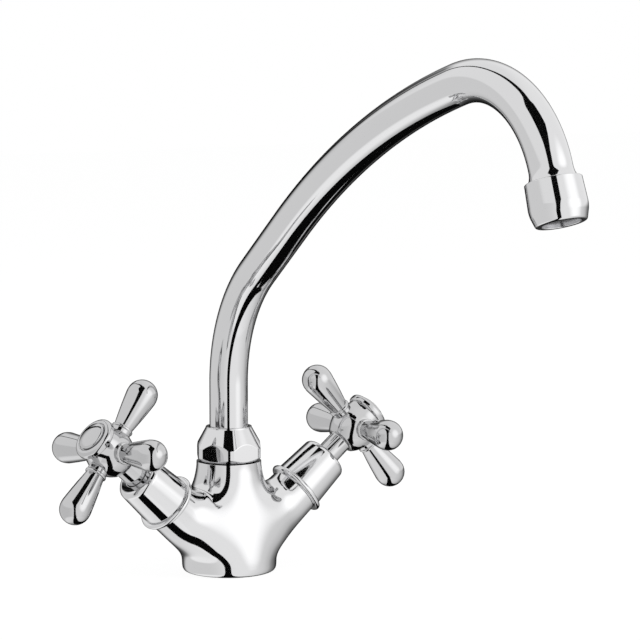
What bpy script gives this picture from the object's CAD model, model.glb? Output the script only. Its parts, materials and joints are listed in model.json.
import bpy
import bmesh
from math import radians, sin, cos, tan, atan2, copysign, sqrt, pi
from mathutils import Matrix, Vector
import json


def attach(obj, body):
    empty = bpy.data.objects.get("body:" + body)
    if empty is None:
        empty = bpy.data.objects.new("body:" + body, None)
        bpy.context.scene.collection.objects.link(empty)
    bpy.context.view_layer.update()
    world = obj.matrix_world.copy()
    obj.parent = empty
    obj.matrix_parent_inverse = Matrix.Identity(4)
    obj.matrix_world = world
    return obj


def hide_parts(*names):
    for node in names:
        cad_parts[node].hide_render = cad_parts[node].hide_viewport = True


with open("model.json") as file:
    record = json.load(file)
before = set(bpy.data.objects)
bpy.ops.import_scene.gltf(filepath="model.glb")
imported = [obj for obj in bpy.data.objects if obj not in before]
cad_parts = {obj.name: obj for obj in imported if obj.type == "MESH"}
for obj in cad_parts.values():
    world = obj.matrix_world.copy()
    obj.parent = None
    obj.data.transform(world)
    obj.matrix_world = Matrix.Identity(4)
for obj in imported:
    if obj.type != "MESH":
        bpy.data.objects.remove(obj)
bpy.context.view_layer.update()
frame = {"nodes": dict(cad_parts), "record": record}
mm = 0.001

# Camera: a long lens, a little above the deck and to the left of the spout's plane, so that the
# spout crosses the frame to the right and both cross handles show.
camera = bpy.data.objects.new("camera", bpy.data.cameras.new("camera"))
bpy.context.scene.collection.objects.link(camera)
camera.data.lens = 162.02
camera.data.sensor_width = 36.0
camera.data.clip_start = 0.05
camera.data.clip_end = 30.0
camera.location = (-0.71435, -1.12761, 0.27422)
sight = Vector((0.03914, -0.01845, 0.11765)) - camera.location
camera.rotation_euler = sight.to_track_quat('-Z', 'Y').to_euler()
bpy.context.scene.camera = camera
bpy.context.scene.view_settings.view_transform = 'Standard'

# Studio: a white table and a white world for the lens, two soft lamps, and a light tent that only
# polished metal sees, with black felt where the tent opens for the lens, overhead and underneath.
white = (1.0, 1.0, 1.0, 1.0)


def combined(nodes, links, operation, first, second):
    """Two values put together."""
    step = nodes.new('ShaderNodeMath')
    step.operation = operation
    links.new(first, step.inputs[0])
    links.new(second, step.inputs[1])
    return step.outputs[0]


def seen_directly(nodes, links):
    """One for rays from the lens, from polished metal or through glass, and nought for the rest."""
    rays = nodes.new('ShaderNodeLightPath').outputs
    either = combined(nodes, links, 'MAXIMUM', rays['Is Camera Ray'], rays['Is Glossy Ray'])
    return combined(nodes, links, 'MAXIMUM', either, rays['Is Transmission Ray'])


world = bpy.data.worlds.new("white_studio")
bpy.context.scene.world = world
world.use_nodes = True
nodes = world.node_tree.nodes
links = world.node_tree.links
nodes.clear()
shown = nodes.new('ShaderNodeBackground')
shown.inputs['Color'].default_value = white
shown.inputs['Strength'].default_value = 1.0
lighting = nodes.new('ShaderNodeBackground')
lighting.inputs['Color'].default_value = white
lighting.inputs['Strength'].default_value = 0.8
choice = nodes.new('ShaderNodeMixShader')
end = nodes.new('ShaderNodeOutputWorld')
links.new(seen_directly(nodes, links), choice.inputs['Fac'])
links.new(lighting.outputs[0], choice.inputs[1])
links.new(shown.outputs[0], choice.inputs[2])
links.new(choice.outputs[0], end.inputs['Surface'])


def for_mirrors_only(item, paint):
    """Hangs a studio piece where polished metal sees it and nothing else does."""
    bpy.context.scene.collection.objects.link(item)
    item.data.materials.append(paint)
    item.visible_camera = False
    item.visible_diffuse = False
    item.visible_shadow = False
    item.visible_transmission = False
    item.visible_volume_scatter = False


# Tent: a white cloth dome round the tap, a little dimmer at the left and brightest at one spot high
# on the right. The dark backdrop behind the tap gives the chrome its dark rims.
lens_azimuth = -124.2
tent_radius = 2.6
towards_lens = Vector((cos(radians(lens_azimuth)), sin(radians(lens_azimuth)), 0.0))
to_the_right = Vector((-sin(radians(lens_azimuth)), cos(radians(lens_azimuth)), 0.0))


def towards(azimuth, elevation):
    """The direction from the tap at an azimuth from the lens, to its right, and an elevation."""
    flat = cos(radians(elevation))
    return (towards_lens * (cos(radians(azimuth)) * flat) + to_the_right * (sin(radians(azimuth)) * flat)
            + Vector((0.0, 0.0, sin(radians(elevation)))))


cloth = bpy.data.materials.new("tent_cloth")
cloth.use_nodes = True
nodes = cloth.node_tree.nodes
links = cloth.node_tree.links
nodes.clear()
place = nodes.new('ShaderNodeTexCoord')


def along(way):
    """How far each spot of the cloth lies along a direction, from -1 to 1."""
    level = nodes.new('ShaderNodeVectorMath')
    level.operation = 'DOT_PRODUCT'
    level.inputs[1].default_value = way / tent_radius
    links.new(place.outputs['Object'], level.inputs[0])
    return level.outputs['Value']


def graded(source, low, high, out_low, out_high):
    """A value that runs from one level to another while the source runs from low to high."""
    step = nodes.new('ShaderNodeMapRange')
    step.interpolation_type = 'SMOOTHSTEP'
    step.inputs['From Min'].default_value = low
    step.inputs['From Max'].default_value = high
    step.inputs['To Min'].default_value = out_low
    step.inputs['To Max'].default_value = out_high
    links.new(source, step.inputs['Value'])
    return step.outputs['Result']


def cloth_ramp(source, stops):
    """Grey levels along a value that runs from -1 to 1."""
    half = nodes.new('ShaderNodeMapRange')
    half.inputs['From Min'].default_value = -1.0
    links.new(source, half.inputs['Value'])
    ramp = nodes.new('ShaderNodeValToRGB')
    for level, tone in stops:
        stop = ramp.color_ramp.elements.new(0.5 + 0.5 * level)
        stop.color = (tone, tone, tone, 1.0)
    ramp.color_ramp.elements.remove(ramp.color_ramp.elements[0])
    ramp.color_ramp.elements.remove(ramp.color_ramp.elements[-1])
    links.new(half.outputs['Result'], ramp.inputs['Fac'])
    return ramp.outputs['Color']


front = along(towards_lens)
right = along(to_the_right)
height = along(Vector((0.0, 0.0, 1.0)))
bright_spot = along(towards(62.0, 16.0))
backdrop = cloth_ramp(front, ((-1.0, 0.08), (-0.87, 0.12), (-0.71, 0.20), (-0.57, 0.33), (-0.37, 0.60),
                              (-0.1, 0.78), (0.2, 0.88), (0.6, 1.0)))
rim = cloth_ramp(front, ((-1.0, 0.12), (-0.82, 0.18), (-0.65, 0.9), (-0.5, 1.0)))
lower_tone = nodes.new('ShaderNodeMix')
lower_tone.data_type = 'RGBA'
links.new(graded(right, -0.5, -0.2, 0.0, 1.0), lower_tone.inputs['Factor'])
links.new(rim, lower_tone.inputs['A'])
links.new(backdrop, lower_tone.inputs['B'])
above = combined(nodes, links, 'SUBTRACT', height, graded(right, -0.45, 0.05, 0.5, 0.0))
cloth_tone = nodes.new('ShaderNodeMix')
cloth_tone.data_type = 'RGBA'
cloth_tone.inputs['B'].default_value = white
links.new(graded(above, 0.0, 0.15, 0.0, 1.0), cloth_tone.inputs['Factor'])
links.new(lower_tone.outputs['Result'], cloth_tone.inputs['A'])
brightness = graded(right, -0.8, 0.4, 0.84, 1.08)
for operation, share in (('MAXIMUM', graded(height, 0.0, 0.35, 0.0, 1.0)),
                         ('MAXIMUM', graded(height, -0.75, -0.4, 1.15, 0.0)),
                         ('ADD', graded(bright_spot, 0.84, 1.0, 0.0, 0.5)),
                         ('MULTIPLY', graded(front, -0.98, -0.72, 0.1, 1.0))):
    brightness = combined(nodes, links, operation, brightness, share)
glow = nodes.new('ShaderNodeEmission')
links.new(cloth_tone.outputs['Result'], glow.inputs['Color'])
links.new(brightness, glow.inputs['Strength'])
end = nodes.new('ShaderNodeOutputMaterial')
links.new(glow.outputs[0], end.inputs['Surface'])
tent_shape = bmesh.new()
bmesh.ops.create_uvsphere(tent_shape, u_segments=64, v_segments=32, radius=tent_radius)
tent_mesh = bpy.data.meshes.new("tent")
tent_shape.to_mesh(tent_mesh)
tent_shape.free()
tent_mesh.shade_smooth()
for_mirrors_only(bpy.data.objects.new("tent", tent_mesh), cloth)

# Black felt: bands hung inside the tent, in front where it opens for the lens, overhead and
# underneath. They draw the sharp black lines in the chrome.
felt_radius = 2.0
felt_black = 0.004
black_felt = bpy.data.materials.new("black_felt")
black_felt.use_nodes = True
nodes = black_felt.node_tree.nodes
nodes['Principled BSDF'].inputs['Base Color'].default_value = (felt_black, felt_black, felt_black, 1.0)
nodes['Principled BSDF'].inputs['Roughness'].default_value = 1.0
nodes['Principled BSDF'].inputs['Specular IOR Level'].default_value = 0.0


def felt_band(name, stations):
    """A band of black felt inside the tent, through stations of azimuth, elevation and half width."""
    path = [towards(azimuth, elevation) for azimuth, elevation, half in stations]
    work = bmesh.new()
    edge = None
    for index, station in enumerate(stations):
        onward = path[min(index + 1, len(path) - 1)] - path[max(index - 1, 0)]
        aside = path[index].cross(onward).normalized() * tan(radians(station[2]))
        ends = [(path[index] + aside).normalized() * felt_radius,
                (path[index] - aside).normalized() * felt_radius]
        if edge is None:
            edge = work.edges.new([work.verts.new(spot) for spot in ends])
            pair = list(edge.verts)
        else:
            grown = bmesh.ops.extrude_edge_only(work, edges=[edge])['geom']
            pair = [part for part in grown if isinstance(part, bmesh.types.BMVert)]
            if (pair[0].co - before[0]).length > (pair[0].co - before[1]).length:
                pair.reverse()
            edge = [part for part in grown if isinstance(part, bmesh.types.BMEdge)
                    and all(vert in pair for vert in part.verts)][0]
            for vert, spot in zip(pair, ends):
                vert.co = spot
        before = [vert.co.copy() for vert in pair]
    mesh = bpy.data.meshes.new(name)
    work.to_mesh(mesh)
    work.free()
    for_mirrors_only(bpy.data.objects.new(name, mesh), black_felt)


felt_band("felt_front", [(0, -88, 11), (0, -75, 12), (0, -50, 9), (0, -25, 7.5), (0, -5, 7), (0, 15, 7),
                         (0, 40, 10), (0, 54, 17), (0, 64, 20), (0, 76, 9)])
felt_band("felt_overhead", [(0, 60, 11), (-30, 80, 6), (-95, 77, 4), (-122, 62, 2.2), (-137, 42, 1.4),
                            (-146, 22, 2.2), (-156, 9, 5), (-165, 3, 7), (-175, 0, 6)])
felt_band("felt_under", [(0, -80, 12), (168, -82, 13), (168, -61, 15), (163, -43, 13), (160, -30, 10)])

# Table: white for the lens, with the tap's shadow kept in its matt share, and unseen by the chrome.
lit_share = 0.9
floor_shape = bmesh.new()
bmesh.ops.create_grid(floor_shape, x_segments=2, y_segments=2, size=3.0)
floor_mesh = bpy.data.meshes.new("floor")
floor_shape.to_mesh(floor_mesh)
floor_shape.free()
floor = bpy.data.objects.new("floor", floor_mesh)
bpy.context.scene.collection.objects.link(floor)
floor_white = bpy.data.materials.new("white_table")
floor_white.use_nodes = True
nodes = floor_white.node_tree.nodes
links = floor_white.node_tree.links
nodes.clear()
matte = nodes.new('ShaderNodeBsdfDiffuse')
matte.inputs['Color'].default_value = (0.96, 0.96, 0.96, 1.0)
lit = nodes.new('ShaderNodeEmission')
lit.inputs['Color'].default_value = white
lit.inputs['Strength'].default_value = 1.02
share = nodes.new('ShaderNodeMixShader')
part = nodes.new('ShaderNodeMath')
part.operation = 'MULTIPLY'
part.inputs[1].default_value = lit_share
end = nodes.new('ShaderNodeOutputMaterial')
links.new(seen_directly(nodes, links), part.inputs[0])
links.new(part.outputs[0], share.inputs['Fac'])
links.new(matte.outputs[0], share.inputs[1])
links.new(lit.outputs[0], share.inputs[2])
links.new(share.outputs[0], end.inputs['Surface'])
floor_mesh.materials.append(floor_white)
floor.visible_glossy = False

# Lamps: two square soft boxes that light the table and the matt pieces, unseen by the chrome.
for name, azimuth, distance, lamp_height, size, power in (
        ("softbox_right", 75.0, 1.1, 0.75, 0.7, 9.0), ("softbox_left", -70.0, 1.2, 0.8, 0.8, 6.0)):
    lamp = bpy.data.lights.new(name, 'AREA')
    lamp.shape = 'SQUARE'
    lamp.size = size
    lamp.energy = power
    holder = bpy.data.objects.new(name, lamp)
    bpy.context.scene.collection.objects.link(holder)
    holder.location = towards(azimuth, 0.0) * distance + Vector((0.0, 0.0, lamp_height))
    aim = Vector((0.0, -0.06, 0.1)) - holder.location
    holder.rotation_euler = aim.to_track_quat('-Z', 'Y').to_euler()
    holder.visible_glossy = False

# Body: one brass casting, chromed all over. A round foot, two arms that lean out to the valves and
# a collar for the spout flow into one broad front. The arms' ends and the spigot are machined.
chrome_grey = 0.68


def polished_chrome(name, polish, unevenness, grey=chrome_grey):
    """Bright chrome plate: slightly uneven polish, faint wipe marks and a barely wavy surface."""
    metal = bpy.data.materials.new(name)
    metal.use_nodes = True
    nodes = metal.node_tree.nodes
    links = metal.node_tree.links
    surface = nodes['Principled BSDF']
    surface.inputs['Base Color'].default_value = (grey, grey, 1.01 * grey, 1.0)
    surface.inputs['Metallic'].default_value = 1.0
    place = nodes.new('ShaderNodeTexCoord')
    wipe = nodes.new('ShaderNodeMapping')
    wipe.inputs['Scale'].default_value = (60.0, 60.0, 14.0)
    marks = nodes.new('ShaderNodeTexNoise')
    marks.inputs['Scale'].default_value = 1.0
    marks.inputs['Detail'].default_value = 5.0
    gloss = nodes.new('ShaderNodeMapRange')
    gloss.inputs['From Min'].default_value = 0.35
    gloss.inputs['From Max'].default_value = 0.75
    gloss.inputs['To Min'].default_value = polish
    gloss.inputs['To Max'].default_value = polish + 0.04
    waves = nodes.new('ShaderNodeTexNoise')
    waves.inputs['Scale'].default_value = 90.0
    waves.inputs['Detail'].default_value = 1.0
    bump = nodes.new('ShaderNodeBump')
    bump.inputs['Strength'].default_value = unevenness
    bump.inputs['Distance'].default_value = 0.00002
    links.new(place.outputs['Object'], wipe.inputs['Vector'])
    links.new(wipe.outputs['Vector'], marks.inputs['Vector'])
    links.new(marks.outputs['Fac'], gloss.inputs['Value'])
    links.new(gloss.outputs['Result'], surface.inputs['Roughness'])
    links.new(place.outputs['Object'], waves.inputs['Vector'])
    links.new(waves.outputs['Fac'], bump.inputs['Height'])
    links.new(bump.outputs['Normal'], surface.inputs['Normal'])
    return metal


cast_chrome = polished_chrome("cast_chrome", 0.04, 0.25)
turned_chrome = polished_chrome("turned_chrome", 0.03, 0.1)
arm_lean = radians(49.5)
arm_cant = radians(4.4)
arm_root_z = 5.2


def arm_place(side, spin=0.0):
    """Lays local Z on the arm's outward axis, from the arm's root, with a turn about that axis."""
    outward = Vector((side * sin(arm_lean) * cos(arm_cant), -sin(arm_lean) * sin(arm_cant), cos(arm_lean)))
    across = outward.cross(Vector((0.0, 1.0, 0.0))).normalized()
    other = outward.cross(across)
    turn = Matrix((across, other, outward)).transposed().to_4x4()
    return Matrix.Translation((0.0, 0.0, arm_root_z * mm)) @ turn @ Matrix.Rotation(radians(spin), 4, 'Z')


# The casting starts as a block of two by two by two; these are its corners and middles in one
# quarter, as (across, depth, height), by the row, column and level they belong to.
casting = bmesh.new()
bmesh.ops.create_cube(casting, size=2.0)
bmesh.ops.subdivide_edges(casting, edges=casting.edges[:], cuts=1, use_grid_fill=True)
block = {(0, 1, 1): (0.0, 18.2, 38.0), (1, 1, 1): (13.8, 14.2, 38.5), (1, 0, 1): (19.6, 0.0, 40.5),
         (0, 1, 0): (0.0, 20.8, 22.0), (1, 1, 0): (17.8, 18.6, 22.0), (1, 0, 0): (20.0, 0.0, 20.0),
         (0, 1, -1): (0.0, 24.4, 8.5), (1, 1, -1): (17.6, 17.6, 8.5), (1, 0, -1): (25.2, 0.0, 9.0),
         (0, 0, 1): (0.0, 0.0, 38.0), (0, 0, -1): (0.0, 0.0, 8.5)}
ways = {(0, 0, 1): [], (0, 0, -1): [], (-1, 0, 0): [], (1, 0, 0): [], (0, 1, 0): [], (0, -1, 0): []}
for face in casting.faces:
    ways[tuple(round(part) for part in face.normal)].append(face)
for vert in casting.verts:
    row, column, level = (round(part) for part in vert.co)
    across, depth, height = block[(abs(row), abs(column), level)]
    vert.co = (copysign(across, row) * mm, copysign(depth, column) * mm, height * mm)
edge_sharpness = casting.edges.layers.float.new('crease_edge')
round_up = 3.0 / (2.0 + cos(radians(45)))   # the smoothed surface shrinks inside its eight corners


def grown_ring(faces, place, station, radius, tilt=0.0, edged=False):
    """Pulls four faces of the casting out to a round section at a station of the given axis."""
    result = bmesh.ops.extrude_face_region(casting, geom=faces)['geom']
    bmesh.ops.delete(casting, geom=faces, context='FACES')
    end = [item for item in result if isinstance(item, bmesh.types.BMFace)]
    back = place.inverted()
    for vert in {vert for face in end for vert in face.verts}:
        here = back @ vert.co
        eighth = round(atan2(here.y, here.x) / (pi / 4)) * pi / 4
        inside = all(face in end for face in vert.link_faces)
        reach = 0.0 if inside else radius * round_up
        slant = 0.0 if inside else tilt * cos(eighth)
        vert.co = place @ (Vector((reach * cos(eighth), reach * sin(eighth), station + slant)) * mm)
    if edged:
        for edge in {edge for face in end for edge in face.edges}:
            if sum(face in end for face in edge.link_faces) == 1:
                edge[edge_sharpness] = 1.0
    return end


end = ways[(0, 0, 1)]
for station, radius, edged in ((45.5, 15.9, False), (49.8, 15.2, False), (52.2, 15.2, True),
                               (52.2, 11.9, True), (59.8, 11.9, True), (59.8, 10.2, True),
                               (34.0, 10.2, True)):
    end = grown_ring(end, Matrix.Identity(4), station, radius, 0.0, edged)
end = ways[(0, 0, -1)]
for station, radius in ((4.5, 22.2), (0.0, 22.2), (0.0, 17.2), (0.0, 8.0)):
    end = grown_ring(end, Matrix.Identity(4), station, radius)
for side in (-1, 1):
    end = ways[(side, 0, 0)]
    for station, radius, tilt, edged in ((34.5, 12.7, 5.5, False), (41.5, 12.3, 2.0, False),
                                         (46.0, 12.2, 0.0, True), (46.0, 9.4, 0.0, True),
                                         (30.0, 9.4, 0.0, True)):
        end = grown_ring(end, arm_place(side), station, radius, side * tilt, edged)
bmesh.ops.recalc_face_normals(casting, faces=casting.faces[:])
body_mesh = bpy.data.meshes.new("cast_body")
casting.to_mesh(body_mesh)
casting.free()
body_mesh.shade_smooth()
body_mesh.materials.append(cast_chrome)
cast_body = bpy.data.objects.new("cast_body", body_mesh)
bpy.context.scene.collection.objects.link(cast_body)
smooth = cast_body.modifiers.new("smooth", 'SUBSURF')
smooth.levels = 4
smooth.render_levels = 4
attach(cast_body, "mixer_body")
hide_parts("body")


# Trim rings: a chromed bead between each arm and its bell, turned from brass. A thin step on both
# sides leaves the dark parting lines.
sides = ((-1, "left"), (1, "right"))


def turned_shape(outline, place, steps=96, arc_steps=6):
    """Lathe work: an outline of (radius, station, corner rounding) in millimetres, spun about Z."""
    work = bmesh.new()
    corners = [work.verts.new((radius * mm, 0.0, station * mm)) for radius, station, rounding in outline]
    work.faces.new(corners)
    for corner, (radius, station, rounding) in zip(corners, outline):
        if rounding:
            bmesh.ops.bevel(work, geom=[corner], offset=rounding * mm, offset_type='OFFSET',
                            segments=arc_steps, profile=0.5, affect='VERTICES', material=-1)
    bmesh.ops.delete(work, geom=work.faces[:], context='FACES_ONLY')
    on_axis = [edge for edge in work.edges if all(abs(vert.co.x) < 1e-8 for vert in edge.verts)]
    bmesh.ops.delete(work, geom=on_axis, context='EDGES')
    bmesh.ops.spin(work, geom=work.verts[:] + work.edges[:], cent=(0, 0, 0), axis=(0, 0, 1),
                   angle=2 * pi, steps=steps, use_merge=True, use_duplicate=False)
    bmesh.ops.remove_doubles(work, verts=work.verts[:], dist=1e-7)
    bmesh.ops.recalc_face_normals(work, faces=work.faces[:])
    bmesh.ops.transform(work, matrix=place, verts=work.verts[:])
    return work


def finished(work, name, body, metal, slot, *nodes):
    """Turns a worked shape into a piece that rides on a body and stands for its CAD nodes."""
    mesh = bpy.data.meshes.new(name)
    work.to_mesh(mesh)
    work.free()
    mesh.shade_smooth()
    mesh.set_sharp_from_angle(angle=radians(38))
    mesh.materials.append(metal)
    piece = bpy.data.objects.new(name, mesh)
    bpy.context.scene.collection.objects.link(piece)
    even = piece.modifiers.new("even_shading", 'WEIGHTED_NORMAL')
    even.keep_sharp = True
    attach(piece, body)
    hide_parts(*nodes)
    return piece


for side, label in sides:
    bead = turned_shape([(10.4, 46.0, 0), (12.6, 46.0, 0), (12.6, 46.25, 0), (14.5, 46.25, 1.24),
                         (14.5, 48.75, 1.24), (12.3, 48.75, 0), (12.3, 49.0, 0), (10.4, 49.0, 0)],
                        arm_place(side), arc_steps=10)
    finished(bead, label + "_bead_ring", "mixer_body", turned_chrome, "chrome", label + "_trim_ring")

# Bells: a chromed shroud over each valve's headwork, screwed on its bonnet thread. The side
# tapers a little and rolls over into the flat top.
for side, label in sides:
    bell = turned_shape([(10.95, 49.0, 0), (12.6, 49.0, 0.25), (11.95, 58.0, 3.0), (11.15, 69.4, 2.6),
                         (5.9, 69.4, 0.3), (5.9, 68.1, 0), (8.5, 68.1, 0), (9.8, 66.5, 0),
                         (9.85, 55.0, 0), (10.95, 54.0, 0)], arm_place(side))
    finished(bell, label + "_bell", "mixer_body", turned_chrome, "chrome", label + "_shroud")

# Cross handles: hub, neck and four clubs cast in one piece of zinc and chromed. The clubs stand
# on small beads and swell to a round end.
handle_chrome = polished_chrome("handle_chrome", 0.045, 0.25, 0.55)
handle_spin = {"left": 7.5, "right": -2.4}
crossing = 89.3
for side, label in sides:
    spin = handle_spin[label]
    hub = turned_shape([(0.0, 66.4, 0), (5.6, 66.4, 0), (5.6, 79.3, 0.5), (7.2, 79.3, 0.8),
                        (11.0, 84.3, 4.0), (11.4, 90.5, 3.4), (9.2, 95.9, 2.2), (9.2, 97.6, 0.2),
                        (10.3, 97.6, 1.0), (10.3, 101.5, 1.9), (7.5, 101.5, 0.5), (7.2, 101.0, 0),
                        (0.0, 101.0, 0)], arm_place(side, spin), arc_steps=8)
    for turn in range(4):
        lay_out = (arm_place(side, spin + 90 * turn) @ Matrix.Translation((0.0, 0.0, crossing * mm))
                   @ Matrix.Rotation(radians(90), 4, 'Y'))
        club = turned_shape([(0.0, 6.0, 0), (4.8, 6.0, 0), (4.8, 11.8, 0.2), (5.15, 12.0, 0.25),
                             (5.15, 12.9, 0.3), (4.45, 13.2, 0.15), (6.15, 22.5, 3.5),
                             (7.22, 30.0, 0), (7.3, 38.6, 7.25),
                             (0.0, 38.6, 0)], lay_out, steps=64, arc_steps=14)
        club_mesh = bpy.data.meshes.new("club")
        club.to_mesh(club_mesh)
        club.free()
        hub.from_mesh(club_mesh)
        bpy.data.meshes.remove(club_mesh)
    finished(hub, label + "_cross", label + "_handle", handle_chrome, "chrome", label + "_cross_handle")

# Handle caps: a plain chromed button with a low dome, turned from brass and pressed into the front
# of each hub, where it hides the screw.
for side, label in sides:
    button = turned_shape([(0.0, 97.5, 0), (6.0, 97.5, 0), (6.0, 101.2, 0), (6.9, 101.2, 0),
                           (6.9, 102.4, 0.6), (4.2, 103.5, 2.5), (0.0, 103.9, 0)],
                          arm_place(side, handle_spin[label]), arc_steps=8)
    finished(button, label + "_cap_button", label + "_handle", handle_chrome, "chrome",
             label + "_handle_cap")

# Spout: one length of thin brass tube, bent in three arcs, flared at the outlet and chromed. It
# rises out of the nut, leans forward in a long sweep and turns down to the outlet.
tube_radius = 9.0
tube_wall = 1.0
riser_foot = 48.45
riser_top = 88.9
straight_run = 36.3
lower_bend = (71.1, 49.9, 36)    # radius, turn in degrees and steps of each bend
long_bend = (339.5, 24.0, 40)
top_bend = (49.6, 87.6, 60)
tube = bmesh.new()
bmesh.ops.create_circle(tube, cap_ends=False, segments=96, radius=tube_radius * mm)
bmesh.ops.translate(tube, vec=(0.0, 0.0, riser_foot * mm), verts=tube.verts[:])
end_edges = tube.edges[:]


def drawn(work, edges, way, length, steps):
    """Draws the open end of the tube straight on and returns its new end."""
    for step in range(steps):
        grown = bmesh.ops.extrude_edge_only(work, edges=edges)['geom']
        edges = [part for part in grown if isinstance(part, bmesh.types.BMEdge)]
        ends = [part for part in grown if isinstance(part, bmesh.types.BMVert)]
        bmesh.ops.translate(work, vec=way * (length * mm / steps), verts=ends)
        edges = [edge for edge in edges if all(vert in ends for vert in edge.verts)]
    return edges


def bent(work, edges, end, heading, radius, turn, steps):
    """Bends the open end of the tube about an axis along X and returns its end, place and heading."""
    side_way = Vector((0.0, -cos(radians(heading - 90)), sin(radians(heading - 90))))
    centre = end + side_way * (radius * mm)
    verts = list({vert for edge in edges for vert in edge.verts})
    result = bmesh.ops.spin(work, geom=verts + edges, cent=centre, axis=(1, 0, 0), angle=radians(turn),
                            steps=steps, use_merge=False, use_duplicate=False)
    edges = [part for part in result['geom_last'] if isinstance(part, bmesh.types.BMEdge)]
    out_way = Vector((0.0, -cos(radians(heading + 90 - turn)), sin(radians(heading + 90 - turn))))
    return edges, centre + out_way * (radius * mm), heading - turn


end_edges = drawn(tube, end_edges, Vector((0, 0, 1)), riser_top - riser_foot, 6)
end_place = Vector((0.0, 0.0, riser_top * mm))
end_edges, end_place, heading = bent(tube, end_edges, end_place, 90.0, *lower_bend)
onward = Vector((0.0, -cos(radians(heading)), sin(radians(heading))))
end_edges = drawn(tube, end_edges, onward, straight_run, 4)
end_place = end_place + onward * (straight_run * mm)
end_edges, end_place, heading = bent(tube, end_edges, end_place, heading, *long_bend)
end_edges, end_place, heading = bent(tube, end_edges, end_place, heading, *top_bend)
onward = Vector((0.0, -cos(radians(heading)), sin(radians(heading))))
for advance, flare in ((1.2, 1.01), (1.2, 1.026), (1.1, 1.045), (0.9, 1.05), (0.2, 1.01)):
    end_edges = drawn(tube, end_edges, onward, advance, 1)
    end_place = end_place + onward * (advance * mm)
    rim = list({vert for edge in end_edges for vert in edge.verts})
    bmesh.ops.scale(tube, vec=(flare, flare, flare), space=Matrix.Translation(-end_place), verts=rim)
bmesh.ops.recalc_face_normals(tube, faces=tube.faces[:])
spout = finished(tube, "spout_pipe", "spout", turned_chrome, "chrome", "spout_tube")
wall = spout.modifiers.new("wall", 'SOLIDIFY')
wall.thickness = tube_wall * mm
wall.offset = -1.0

# Aerator: a turned and chromed brass sleeve, screwed on the spout's end. It has a small lip on top,
# a barely swelling side and a tapered foot.
sideways = Vector((1.0, 0.0, 0.0))
mouth_place = (Matrix.Translation(end_place)
               @ Matrix((sideways, onward.cross(sideways), onward)).transposed().to_4x4())
sleeve = turned_shape([(9.6, 0.05, 0), (10.36, 0.05, 0), (10.36, -0.12, 0), (11.7, -0.12, 0.45),
                       (12.2, 12.0, 2.0), (10.45, 17.6, 0.7), (8.0, 17.6, 0.3), (8.0, 16.4, 0),
                       (9.6, 16.4, 0)], mouth_place)
finished(sleeve, "aerator_sleeve", "spout", turned_chrome, "chrome", "aerator_housing")

# Spout nut: a chromed brass hexagon with a long cone above the flats. The cone cuts the flats in
# curved lines, as on the lathe.
across_flats = 29.0
bar_length = 16.2
bar_middle = 60.5
corner_azimuth = 31.5
bar = bmesh.new()
bmesh.ops.create_cone(bar, cap_ends=True, segments=6, radius1=across_flats / sqrt(3) * mm,
                      radius2=across_flats / sqrt(3) * mm, depth=bar_length * mm)
bmesh.ops.rotate(bar, verts=bar.verts[:], cent=(0, 0, 0),
                 matrix=Matrix.Rotation(radians(corner_azimuth), 3, 'Z'))
bmesh.ops.translate(bar, verts=bar.verts[:], vec=(0.0, 0.0, bar_middle * mm))
bar_mesh = bpy.data.meshes.new("nut")
bar.to_mesh(bar_mesh)
bar.free()
nut = bpy.data.objects.new("cone_nut", bar_mesh)
bpy.context.scene.collection.objects.link(nut)
lathe = turned_shape([(12.0, 52.4, 0), (13.5, 52.4, 0), (15.95, 54.4, 0), (15.95, 58.8, 0),
                      (10.8, 68.1, 0), (10.8, 68.6, 0), (9.3, 68.6, 0), (9.3, 62.65, 0),
                      (12.0, 62.65, 0)], Matrix.Identity(4))
lathe_mesh = bpy.data.meshes.new("lathe")
lathe.to_mesh(lathe_mesh)
lathe.free()
turned_bar = bpy.data.objects.new("turned_bar", lathe_mesh)
bpy.context.scene.collection.objects.link(turned_bar)
turning = nut.modifiers.new("turning", 'BOOLEAN')
turning.operation = 'INTERSECT'
turning.solver = 'EXACT'
turning.object = turned_bar
bpy.context.view_layer.update()
bar_mesh = bpy.data.meshes.new_from_object(nut.evaluated_get(bpy.context.evaluated_depsgraph_get()))
bpy.data.objects.remove(nut)
bpy.data.objects.remove(turned_bar)
hexagon = bmesh.new()
hexagon.from_mesh(bar_mesh)
bmesh.ops.remove_doubles(hexagon, verts=hexagon.verts[:], dist=0.02 * mm)
bmesh.ops.dissolve_limit(hexagon, angle_limit=radians(0.5), verts=hexagon.verts[:], edges=hexagon.edges[:])
crests = [edge for edge in hexagon.edges if len(edge.link_faces) == 2
          and edge.calc_face_angle() > radians(14)
          and max(vert.co.xy.length for vert in edge.verts) > 10.5 * mm]
bmesh.ops.bevel(hexagon, geom=crests, offset=0.22 * mm, offset_type='OFFSET', segments=3, profile=0.5,
                affect='EDGES', clamp_overlap=False, material=-1)
finished(hexagon, "cone_nut", "mixer_body", turned_chrome, "chrome", "spout_nut")

# Pieces inside the tap: the CAD nodes show their true shape and get the finish of the real stock,
# turned brass, black rubber, ground ceramic, natural nylon and stainless steel.


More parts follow.
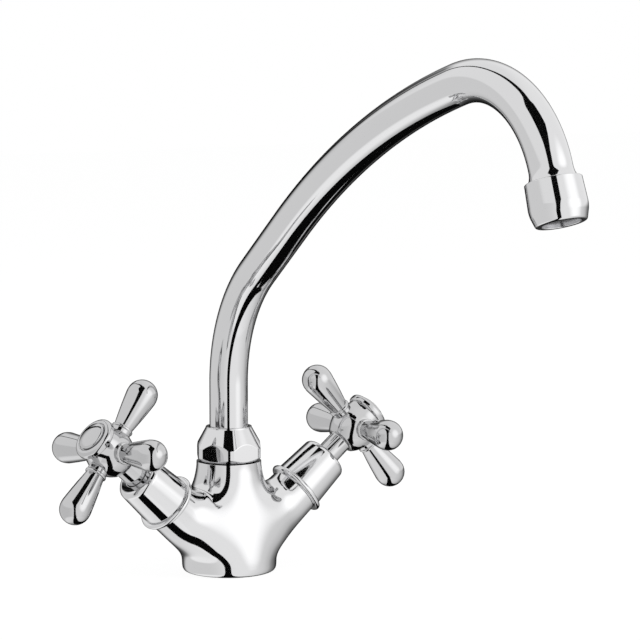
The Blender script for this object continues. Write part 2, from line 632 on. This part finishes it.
def inside_finish(name, colour, metallic, roughness, grain, fine):
    """A plain stock material with a grain in its gloss and its surface."""
    stock = bpy.data.materials.new(name)
    stock.use_nodes = True
    nodes = stock.node_tree.nodes
    links = stock.node_tree.links
    surface = nodes['Principled BSDF']
    surface.inputs['Metallic'].default_value = metallic
    place = nodes.new('ShaderNodeTexCoord')
    speckle = nodes.new('ShaderNodeTexNoise')
    speckle.inputs['Scale'].default_value = fine
    speckle.inputs['Detail'].default_value = 4.0
    tone = nodes.new('ShaderNodeValToRGB')
    tone.color_ramp.elements[0].position = 0.3
    tone.color_ramp.elements[0].color = tuple(0.86 * part for part in colour) + (1.0,)
    tone.color_ramp.elements[1].position = 0.7
    tone.color_ramp.elements[1].color = colour + (1.0,)
    gloss = nodes.new('ShaderNodeMapRange')
    gloss.inputs['To Min'].default_value = roughness
    gloss.inputs['To Max'].default_value = roughness + 0.15
    bump = nodes.new('ShaderNodeBump')
    bump.inputs['Strength'].default_value = grain
    bump.inputs['Distance'].default_value = 0.00005
    links.new(place.outputs['Object'], speckle.inputs['Vector'])
    links.new(speckle.outputs['Fac'], tone.inputs['Fac'])
    links.new(tone.outputs['Color'], surface.inputs['Base Color'])
    links.new(speckle.outputs['Fac'], gloss.inputs['Value'])
    links.new(gloss.outputs['Result'], surface.inputs['Roughness'])
    links.new(speckle.outputs['Fac'], bump.inputs['Height'])
    links.new(bump.outputs['Normal'], surface.inputs['Normal'])
    return stock


stocks = {"brass": inside_finish("turned_brass", (0.78, 0.58, 0.28), 1.0, 0.22, 0.2, 900.0),
          "rubber": inside_finish("seal_rubber", (0.025, 0.025, 0.027), 0.0, 0.55, 0.4, 1500.0),
          "ceramic": inside_finish("ground_ceramic", (0.86, 0.85, 0.80), 0.0, 0.18, 0.1, 2500.0),
          "nylon": inside_finish("natural_nylon", (0.80, 0.79, 0.74), 0.0, 0.4, 0.2, 1200.0),
          "steel": inside_finish("stainless", (0.56, 0.56, 0.58), 1.0, 0.3, 0.2, 1400.0)}
for subpart in frame["record"]["subparts"]:
    if subpart["material_slot"] in stocks:
        inner = frame["nodes"][subpart["node"]]
        inner.data.materials.clear()
        inner.data.materials.append(stocks[subpart["material_slot"]])
